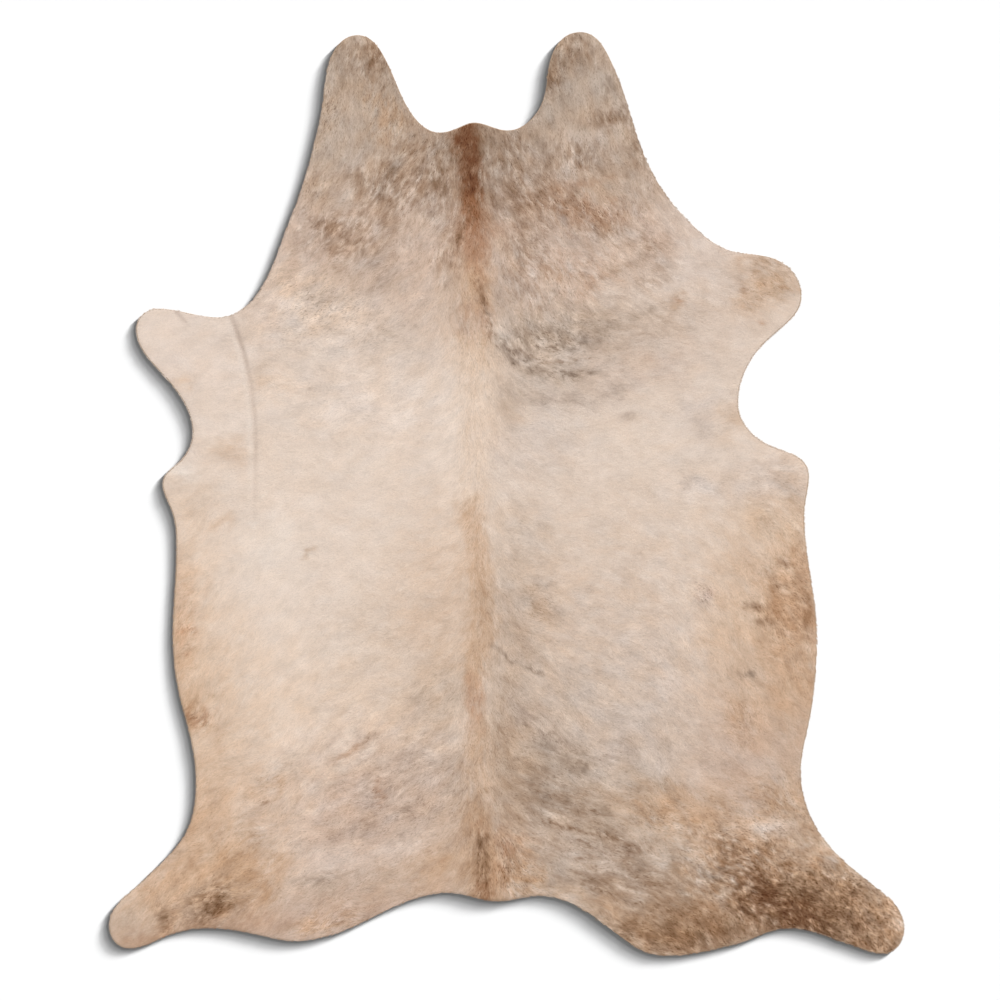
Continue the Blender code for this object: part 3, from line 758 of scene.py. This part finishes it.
def sampled(field, x, y, cell=CELL):
    """A field's value at each place, between its four nearest cells."""
    across = np.clip((x - WEST) / cell, 0, field.shape[1] - END_CELLS)
    up = np.clip((y - SOUTH) / cell, 0, field.shape[0] - END_CELLS)
    column, row = across.astype(int), up.astype(int)
    across, up = across - column, up - row
    if field.ndim == 3:
        across, up = across[..., None], up[..., None]
    low = field[row, column] * (1 - across) + field[row, column + 1] * across
    high = field[row + 1, column] * (1 - across) + field[row + 1, column + 1] * across
    return low * (1 - up) + high * up


def gap_map(outline):
    """How far inside the outline each coarse cell lies, or less than nothing outside it."""
    into = inward(outline)
    tree = KDTree(len(outline))
    for index, (x, y) in enumerate(outline):
        tree.insert((x, y, 0.0), index)
    tree.balance()
    x, y = grid_places(COARSE_CELL)
    places = np.column_stack([x.ravel(), y.ravel()])
    nearest = np.array([tree.find((px, py, 0.0))[1] for px, py in places])
    away = places - outline[nearest]
    side = np.sign((away * into[nearest]).sum(axis=1))
    return (side * np.linalg.norm(away, axis=1)).reshape(x.shape)


def height_map(node, gaps):
    """The height of the coat on each coarse cell, carried on past the hide's edge."""
    tree = BVHTree.FromObject(node, bpy.context.evaluated_depsgraph_get())
    x, y = grid_places(COARSE_CELL)
    heights = np.full(x.shape, np.nan)
    down = Vector((0.0, 0.0, -1.0))
    for row, column in zip(*np.nonzero(gaps > COAT_GAPS[-1])):
        place = tree.ray_cast(Vector((x[row, column], y[row, column], 1.0)), down)[0]
        heights[row, column] = place.z
    while np.isnan(heights[gaps > -MARGIN / 2]).any():
        near = np.stack([np.roll(heights, shift, axis) for shift in (1, -1) for axis in (0, 1)])
        known = ~np.isnan(near)
        count = known.sum(axis=0)
        mean = np.where(known, near, 0.0).sum(axis=0) / np.maximum(count, 1)
        fill = np.isnan(heights) & (count > 0)
        heights[fill] = mean[fill]
    heights = np.nan_to_num(heights, nan=np.nanmean(heights))
    for crease in CREASES:
        gap, _, _, fade = follow_curve(crease, x, y)
        heights -= crease.depth * fade * np.exp(-((gap / crease.half_width) ** 2))
    return heights


def soft_noise(size, seed):
    """Smooth uneven noise over the canvas with bumps about size across: mean 0, spread 1."""
    white = np.random.default_rng(seed).normal(size=(ROWS, COLUMNS))
    down = np.fft.fftfreq(ROWS, CELL)[:, None]
    across = np.fft.rfftfreq(COLUMNS, CELL)[None]
    blur = np.exp(-2 * (math.pi * size / 4) ** 2 * (down**2 + across**2))
    field = np.fft.irfft2(np.fft.rfft2(white) * blur, s=white.shape)
    field -= field.mean()
    return field / field.std()


def layered(layers, seed, step=1):
    """The noise of some layers of bumps together, each with a seed of its own."""
    return sum(
        soft_noise(bumps.size, seed + step * index) * bumps.weight
        for index, bumps in enumerate(layers)
    )


def lie_of_hair(x, y):
    """The heading of the hair at each place, in radians."""
    offset = x - np.interp(-y, -np.array(SPINE_Y), SPINE_X)
    rows = np.array([lie.y for lie in LIES])
    place = np.interp(-y, -rows, np.arange(len(rows)))
    heading = np.zeros(x.shape)
    for row, lie in enumerate(LIES):
        share = np.clip(1 - np.abs(place - row), 0, 1)
        share = share**2 * (3 - 2 * share)
        heading += share * np.interp(offset, LIE_OFFSETS, lie.headings)
    return np.radians(heading)


def combed(field, canvas, reach):
    """A field drawn out along the hair, for about reach each way: mean 0, spread 1."""
    for share in COMB_SHARES:
        step_x = np.cos(canvas.heading) * reach * share * COMB_STEP
        step_y = np.sin(canvas.heading) * reach * share * COMB_STEP
        ahead = sampled(field, canvas.x + step_x, canvas.y + step_y)
        behind = sampled(field, canvas.x - step_x, canvas.y - step_y)
        field = (field + ahead + behind) / 3
    field = field - field.mean()
    return field / field.std()


def hair_pattern(canvas, reach, seed):
    """Uneven noise at every size of patch, drawn out along the hair: mean 0, spread 1."""
    return combed(layered(PATCHES, seed), canvas, reach)


Canvas = namedtuple("Canvas", "x y heading broad fine strands flecks patterns")
Coat = namedtuple("Coat", "colour spread")


def make_canvas():
    """Where each cell is, the heading of its hair, and the noises that paint the coat."""
    x, y = grid_places(CELL)
    heading = lie_of_hair(x, y) + layered(SWIRLS, 1)
    broad = [layered(BROAD_WANDERS, seed) for seed in (3, 4)]
    fine = [layered(FINE_WANDERS, seed, 2) for seed in (5, 6)]
    strands = layered(STRANDS, 60) * STRAND_WEIGHT
    canvas = Canvas(x, y, heading, broad, fine, strands, soft_noise(FLECK_SIZE, 65), {})
    for index, (name, grain) in enumerate(GRAINS.items(), start=2):
        canvas.patterns[name] = hair_pattern(canvas, grain.reach, index * 10)
    return canvas


def window_around(x, y, reach):
    """The part of the canvas within reach of a place."""
    west, east = (int((x + side * reach - WEST) / CELL) for side in (-1, 1))
    south, north = (int((y + side * reach - SOUTH) / CELL) for side in (-1, 1))
    return np.s_[max(south, 0):max(north, 0), max(west, 0):max(east, 0)]


def paint(coat, canvas, window, tone, share, grain):
    """Takes the hair some of the way to a tone, and to its grain."""
    spread = GRAINS[grain].spread
    share = np.clip(share, 0, 1)
    uneven = share + 2 * spread * canvas.patterns[grain][window] * share * (1 - share)
    uneven = np.clip(uneven, 0, 1)[..., None]
    coat.colour[window] += (np.asarray(tone) / 255 - coat.colour[window]) * uneven
    coat.spread[window] += (spread - coat.spread[window]) * share


def paint_marking(coat, canvas, mark):
    seen = SEEN_REACH * max(mark.reach_x, mark.reach_y) + WANDER_ROOM
    window = window_around(mark.x, mark.y, seen)
    bend = min(1.0, min(mark.reach_x, mark.reach_y) / SMALL_MARKING)
    across = canvas.x[window] - mark.x + canvas.broad[0][window] * bend + canvas.fine[0][window]
    up = canvas.y[window] - mark.y + canvas.broad[1][window] * bend + canvas.fine[1][window]
    ahead = direction(mark.turn)
    along = (across * ahead.x + up * ahead.y) / mark.reach_x
    aside = (up * ahead.x - across * ahead.y) / mark.reach_y
    share = mark.share * np.exp(-(along**2) - aside**2)
    paint(coat, canvas, window, PALETTE[mark.colour], share, mark.grain)


def follow_curve(line, across, up):
    """Each place's distance from a curve, how far right and along it lies, and how much of the
    curve is left there, as it fades at both ends."""
    start = Vector((line.x, line.y, 0.0))
    end = Vector((line.end_x, line.end_y, 0.0))
    handle = (end - start).length * CURVE_HANDLE
    count = 2 + int((end - start).length / STRAND_STEP)
    curve = interpolate_bezier(
        start, start + direction(line.heading) * handle,
        end - direction(line.end_heading) * handle, end, count,
    )
    points = np.array([point.xy for point in curve])
    ahead = np.gradient(points, axis=0)
    ahead /= np.linalg.norm(ahead, axis=1, keepdims=True)
    gap = np.full(across.shape, np.inf)
    side = np.zeros(across.shape)
    along = np.zeros(across.shape)
    for index, (point, way) in enumerate(zip(points, ahead)):
        right, above = across - point[0], up - point[1]
        away = np.hypot(right, above)
        near = away < gap
        gap[near] = away[near]
        side[near] = (right * way[1] - above * way[0])[near]
        along[near] = index + (right * way[0] + above * way[1])[near] / STRAND_STEP
    last = len(points) - 1
    fade = np.clip(np.minimum(along, last - along) / (last * CURVE_FADE), 0, 1)
    return gap, side, along * STRAND_STEP, fade


def paint_line(coat, canvas, line):
    """A curved marking, uneven in strands and flecks that run along it."""
    middle = (line.x + line.end_x) / 2, (line.y + line.end_y) / 2
    length = math.hypot(line.end_x - line.x, line.end_y - line.y)
    window = window_around(*middle, SEEN_LENGTH * length + SEEN_WIDTH * line.half_width)
    bend = 0.0 if line.grain == "even" else 1.0
    across = canvas.x[window] + canvas.fine[0][window] * bend
    up = canvas.y[window] + canvas.fine[1][window] * bend
    gap, side, along, fade = follow_curve(line, across, up)
    # Each line takes its own rows of the noise, from the west edge on
    row = line.x + line.y + side
    strand = STRAND_WEIGHT * sampled(canvas.strands, cad_box[0].x + along / STRAND_STRETCH, row)
    strand += STRAND_WEIGHT * sampled(canvas.flecks, cad_box[0].x + along / FLECK_STRETCH, row)
    contrast = STRAND_CONTRAST * GRAINS[line.grain].spread
    share = line.share * fade * np.exp(-((gap / line.half_width) ** 2))
    share = share * np.clip(1 + contrast * strand, 0, STRAND_MOST)
    paint(coat, canvas, window, PALETTE[line.colour], share, line.grain)


def paint_stripe(coat, canvas, stripes, grain):
    """A stripe along the spine, ragged along the hair on both sides."""
    down = -np.array([stripe.y for stripe in stripes])
    place = -(canvas.y + canvas.fine[1] * STRIPE_FINE)
    middle, half_width, share = (
        np.interp(place, down, [getattr(stripe, field) for stripe in stripes])
        for field in ("x", "half_width", "share")
    )
    tones = np.array([PALETTE[stripe.colour] for stripe in stripes])
    tone = np.stack([np.interp(place, down, part) for part in tones.T], axis=-1)
    offset = canvas.x - middle + canvas.fine[0] + canvas.broad[0] * STRIPE_BROAD
    share = share * np.exp(-np.abs(offset / half_width) ** STRIPE_SHARPNESS)
    paint(coat, canvas, np.s_[:, :], tone, share, grain)


def painted_coat(canvas):
    """The colour of the hair on each cell, as a screen shows it, and how uneven its tone is."""
    shape = canvas.x.shape
    coat = Coat(np.empty((*shape, 3)), np.full(shape, GRAINS["even"].spread))
    coat.colour[:] = np.array(PALETTE["cream"]) / 255
    for mark in MARKINGS:
        paint_marking(coat, canvas, mark)
    for seed, cloud in enumerate(CLOUDS, start=100):
        bumps = soft_noise(cloud.size, seed) + soft_noise(cloud.size / 2, seed + 10)
        bumps = np.clip(combed(bumps, canvas, cloud.size / 3), -2, 2)
        bumps *= np.minimum(coat.spread / CLOUDY_SPREAD, 1)
        coat.colour[:] *= 1 + bumps[..., None] * cloud.tint
    paint_stripe(coat, canvas, STRIPES, "speckled")
    paint_stripe(coat, canvas, STRIPE_CORE, "brindled")
    for line in LINES:
        paint_line(coat, canvas, line)
    uneven = hair_pattern(canvas, SPECKLE_REACH, 8) * coat.spread * SPECKLE
    uneven -= PALE_SPECKLE_CUT * np.maximum(uneven, 0)
    coat.colour[:] = np.clip(coat.colour + (uneven * coat.colour.mean(axis=-1))[..., None], 0, 1)
    return coat


def triangle_mesh(name, vertices, faces, colours):
    """A mesh of triangles with a colour at each point, given as light."""
    mesh = bpy.data.meshes.new(name)
    mesh.from_pydata(vertices, [], faces)
    tint = mesh.color_attributes.new("coat", "FLOAT_COLOR", "POINT")
    with_alpha = np.insert(colours, 3, 1.0, axis=1)
    tint.data.foreach_set("color", with_alpha.astype(np.float32).ravel())
    mesh.shade_smooth()
    return mesh


def grid_inside(gaps, step, clearance):
    """A triangular grid of points that lie further inside the outline than the clearance."""
    rows = np.arange(SOUTH, cad_box[1].y, step * math.sqrt(3) / 2)
    columns = np.arange(WEST, cad_box[1].x, step)
    x, y = np.meshgrid(columns, rows)
    x = x + step / 2 * (np.arange(len(rows)) % 2)[:, None]
    points = np.column_stack([x.ravel(), y.ravel()])
    gap = sampled(gaps, points[:, 0], points[:, 1], COARSE_CELL)
    return points[gap > clearance]


def filled(rim, middle):
    """Triangles between a closed rim's points and those in its middle, facing up."""
    points = [Vector(point) for point in np.vstack([rim, middle])]
    edges = [(index, (index + 1) % len(rim)) for index in range(len(rim))]
    only_inside = 1
    made = delaunay_2d_cdt(points, edges, [], only_inside, SAME_POINT)
    return np.array([[made[3][corner][0] for corner in face] for face in made[2]])


def skin_height(x, y, gaps, heights):
    """The top of the skin and its undercoat, which the locks stand on."""
    gap = sampled(gaps, x, y, COARSE_CELL)
    full = sampled(heights, x, y, COARSE_CELL) * ROOT_SHARE
    low = EDGE[-1].height
    return low + (full - low) * np.clip((gap - EDGE[-1].inset) / SKIN_RISE, 0, 1)


def make_hide(outline, gaps, heights, colour):
    """The skin: one closed sheet with a cut edge, and the coat's ground on top."""
    into = inward(outline)
    count = len(outline)
    flat = np.vstack([outline + into * ring.inset for ring in EDGE])
    tall = np.repeat([ring.height for ring in EDGE], count)
    ring = np.arange(count)
    after = (ring + 1) % count
    faces = []
    for low in range(0, (len(EDGE) - 1) * count, count):
        high = low + count
        faces.append(np.column_stack([low + ring, low + after, high + after]))
        faces.append(np.column_stack([low + ring, high + after, high + ring]))
    parts = [CUT_EDGE] * 2 * count * (len(EDGE) - 1)
    for side in SIDES:
        inset = EDGE[side.ring].inset
        middle = grid_inside(gaps, side.grid, inset + side.grid * side.clearance)
        fill = filled(outline + into * inset, middle)[:, ::side.way]
        rim = side.ring % len(EDGE) * count
        faces.append(np.where(fill < count, fill + rim, fill - count + len(flat)))
        parts += [side.part] * len(fill)
        flat = np.vstack([flat, middle])
        up = skin_height(*middle.T, gaps, heights) if side.part == TOP else np.zeros(len(middle))
        tall = np.concatenate([tall, up])
    tints = linear(sampled(colour, *flat.T))
    mesh = triangle_mesh("hide", np.column_stack([flat, tall]), np.vstack(faces), tints)
    mesh.polygons.foreach_set("material_index", np.array(parts, np.int32))
    mesh.set_sharp_from_angle(angle=SHARP_ANGLE)
    return new_object("hide", mesh)


Locks = namedtuple("Locks", "roots tips ahead aside length width bend")


def laid_locks(rng, gaps, heading_map):
    """Where each lock of hair lies, from the neck down. One that leaves the hide is cut short."""
    roots = grid_inside(gaps, LOCK_STEP, LOCK_INSET)
    roots = roots[np.argsort(-roots[:, 1], kind="stable")]
    count = len(roots)
    roots = roots + rng.uniform(-0.5, 0.5, (count, 2)) * LOCK_STEP
    heading = sampled(heading_map, *roots.T)
    heading = heading + np.radians(rng.normal(0.0, LOCK_TURN, count))
    ahead = np.column_stack([np.cos(heading), np.sin(heading)])
    aside = np.column_stack([-ahead[:, 1], ahead[:, 0]])
    length = rng.uniform(*LOCK_LENGTHS, count)
    width = rng.uniform(*LOCK_WIDTHS, count)
    bend = rng.normal(0.0, LOCK_BEND, count)
    overhang = rng.uniform(*OVERHANGS, count)
    gap_root = sampled(gaps, *roots.T, COARSE_CELL)
    gap_tip = sampled(gaps, *(roots + ahead * length[:, None]).T, COARSE_CELL)
    reach = (gap_root + overhang) / np.maximum(gap_root - gap_tip, SAME_POINT)
    share = np.where(gap_tip < -overhang, np.clip(reach, 0, 1), 1.0)
    length = length * share
    width = width * share**CUT_THINNING
    tips = roots + ahead * length[:, None] + aside * bend[:, None]
    return Locks(roots, tips, ahead, aside, length, width, bend)


def lock_corners(rng, locks, gap_tip, gaps, heights):
    """The root, right corner, tip and left corner of each lock."""
    root_z = skin_height(*locks.roots.T, gaps, heights) - ROOT_DEPTH
    tip_z = sampled(heights, *locks.tips.T, COARSE_CELL) * rng.uniform(*TIP_SHARES, len(root_z))
    tip_z = tip_z * np.interp(gap_tip, COAT_GAPS, COAT_SHARES)
    crown = locks.roots + locks.ahead * (locks.length * LOCK_CROWN)[:, None]
    crown = crown + locks.aside * (locks.bend * CROWN_BEND)[:, None]
    side_z = root_z + (tip_z - root_z) * LOCK_CROWN - LOCK_DROP
    half = locks.aside * (locks.width / 2)[:, None]
    return np.stack([
        np.column_stack([locks.roots, root_z]),
        np.column_stack([crown - half, side_z]),
        np.column_stack([locks.tips, tip_z]),
        np.column_stack([crown + half, side_z]),
    ], axis=1)


def lock_tones(rng, locks, corners, gap_tip, coat):
    """The colour of each corner of each lock: the coat's, and in part the lock's own."""
    middle = locks.roots + locks.ahead * (locks.length * TONE_PLACE)[:, None]
    spread = LOCK_SPREAD * sampled(coat.spread, *middle.T) ** SPREAD_POWER
    shade = np.clip(rng.normal(0.0, 1.0, len(middle)), -2, 2)
    darkness = np.maximum(shade - DARK_FROM, 0) - MEAN_DARKNESS
    whole = sampled(coat.colour, *middle.T)
    shift = whole.mean(axis=1, keepdims=True) * (np.exp(-darkness * spread)[:, None] - 1)
    # Painted shade on the locks at the rim
    rim = np.interp(gap_tip, RIM_GAPS, RIM_PAINTED_SHADES)[:, None]
    tones = []
    for corner, light in enumerate(CORNER_LIGHTS):
        own = sampled(coat.colour, *corners[:, corner, :2].T)
        tone = (whole + (own - whole) * OWN_TONE + shift) * rim * light
        tones.append(linear(np.clip(tone, 0, 1)))
    return np.stack(tones, axis=1)


def make_coat(name, points, tones):
    """One stretch of the coat: a narrow tent of two triangles for each lock of hair."""
    count = len(points)
    first = np.arange(count)[:, None] * 4
    faces = (first[:, :, None] + np.array([[0, 1, 2], [0, 2, 3]])).reshape(-1, 3)
    mesh = triangle_mesh(name, points.reshape(-1, 3), faces, tones.reshape(-1, 3))
    # Each lock has a square of its own to be baked in
    side = math.ceil(math.sqrt(count))
    cell = np.stack([np.arange(count) % side, np.arange(count) // side], axis=1) / side
    corners = np.array([(0, 0), (1, 0), (1, 1), (0, 0), (1, 1), (0, 1)]) / side
    baked = mesh.uv_layers.new(name="OFBake")
    spots = (cell[:, None] + corners).reshape(-1, 2)
    baked.data.foreach_set("uv", spots.astype(np.float32).ravel())
    return new_object(name, mesh)


def noise(tree, scale, detail=3.0):
    """Noise from 0 to 1 with about scale bumps to the metre, fixed to the hide."""
    place = tree.nodes.new("ShaderNodeTexCoord").outputs["Object"]
    inputs = {"Vector": place, "Scale": scale, "Detail": detail}
    return new_node(tree, "ShaderNodeTexNoise", inputs).outputs["Fac"]


def between(tree, fac, low, high):
    """A number from low to high as the noise goes from its usual least to its usual most."""
    least, most = NOISE_RANGE
    inputs = {"Value": fac, "From Min": least, "From Max": most, "To Min": low, "To Max": high}
    return new_node(tree, "ShaderNodeMapRange", inputs).outputs["Result"]


def two_tones(tree, fac, first, second):
    """A colour from the first to the second, both as a screen shows them, from 0 to 255."""
    node = new_node(tree, "ShaderNodeValToRGB", {"Fac": fac})
    for stop, place, tone in zip(node.color_ramp.elements, NOISE_RANGE, (first, second)):
        stop.position = place
        stop.color = (*linear(np.array(tone) / 255), 1.0)
    return node.outputs["Color"]


def shaded(tree, colour, fac, low, high):
    """A colour made darker or paler by a noise."""
    node = tree.nodes.new("ShaderNodeVectorMath")
    node.operation = "SCALE"
    set_inputs(tree, node, {"Vector": colour, "Scale": between(tree, fac, low, high)})
    return node.outputs["Vector"]


def relief(tree, fac, height, strength):
    inputs = {"Height": fac, "Distance": height, "Strength": strength}
    return new_node(tree, "ShaderNodeBump", inputs).outputs["Normal"]


def hair_material(name, low, high):
    """Short hair with a soft gloss, in the colours painted on its mesh."""
    material, tree, shader = new_material(name)
    tint = tree.nodes.new("ShaderNodeAttribute")
    tint.attribute_name = "coat"
    strands = noise(tree, 900.0)
    tufts = noise(tree, 260.0, 2.0)
    colour = shaded(tree, tint.outputs["Color"], strands, low, high)
    set_inputs(tree, shader, {
        "Base Color": shaded(tree, colour, tufts, 0.97, 1.03),
        "Roughness": between(tree, tufts, 0.52, 0.68),
        "Specular IOR Level": 0.12,
        "Sheen Weight": 0.03,
        "Sheen Roughness": 0.5,
        "Normal": relief(tree, strands, 0.0002, 0.3),
    })
    return material


def cut_edge_material():
    """The cut through the leather: tanned fibres."""
    material, tree, shader = new_material("cut_edge")
    fibres = noise(tree, 1400.0)
    set_inputs(tree, shader, {
        "Base Color": two_tones(tree, fibres, (150, 124, 102), (188, 164, 140)),
        "Roughness": between(tree, fibres, 0.7, 0.9),
        "Normal": relief(tree, fibres, 0.0002, 0.5),
    })
    return material


def flesh_side_material():
    """The underside: pale suede, in soft clouds, with a short nap."""
    material, tree, shader = new_material("flesh_side")
    clouds = noise(tree, 7.0, 4.0)
    nap = noise(tree, 650.0)
    colour = two_tones(tree, clouds, (186, 170, 150), (214, 202, 184))
    set_inputs(tree, shader, {
        "Base Color": shaded(tree, colour, nap, 0.92, 1.05),
        "Roughness": between(tree, nap, 0.82, 0.95),
        "Specular IOR Level": 0.2,
        "Sheen Weight": 0.15,
        "Sheen Roughness": 0.6,
        "Normal": relief(tree, nap, 0.0004, 0.5),
    })
    return material


def put_on_body(piece):
    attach(piece, "root")


make_camera()
make_room()
floor = make_floor()
bpy.context.scene.view_settings.view_transform = "Standard"

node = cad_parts["cowhide"]
outline = smooth_loop(outline_of(node), EDGE_STEP)
gaps = gap_map(outline)
heights = height_map(node, gaps)
canvas = make_canvas()
coat = painted_coat(canvas)

hide = make_hide(outline, gaps, heights, coat.colour)
# The undercoat is the hair's material painted darker, as painted shade under the locks
for material in (hair_material("undercoat", 0.86, 0.98), cut_edge_material(), flesh_side_material()):
    hide.data.materials.append(material)
put_on_body(hide)
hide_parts("cowhide")
rng = np.random.default_rng(LOCK_SEED)
locks = laid_locks(rng, gaps, canvas.heading)
gap_tip = sampled(gaps, *locks.tips.T, COARSE_CELL)
points = lock_corners(rng, locks, gap_tip, gaps, heights)
tones = lock_tones(rng, locks, points, gap_tip, coat)
long_enough = locks.length > SHORTEST_LOCK
points, tones = points[long_enough], tones[long_enough]
material = hair_material("coat", 0.95, 1.05)
coats = []
parts = (np.array_split(field, len(COAT_PIECES)) for field in (points, tones))
for name, part, tone in zip(COAT_PIECES, *parts):
    stretch = make_coat(name, part, tone)
    stretch.data.materials.append(material)
    put_on_body(stretch)
    coats.append(stretch)
make_light("hide_light", [hide, *coats], **HIDE_LIGHT)
for number, light in enumerate(FLOOR_LIGHTS):
    make_light(f"floor_light_{number}", [floor], **light)
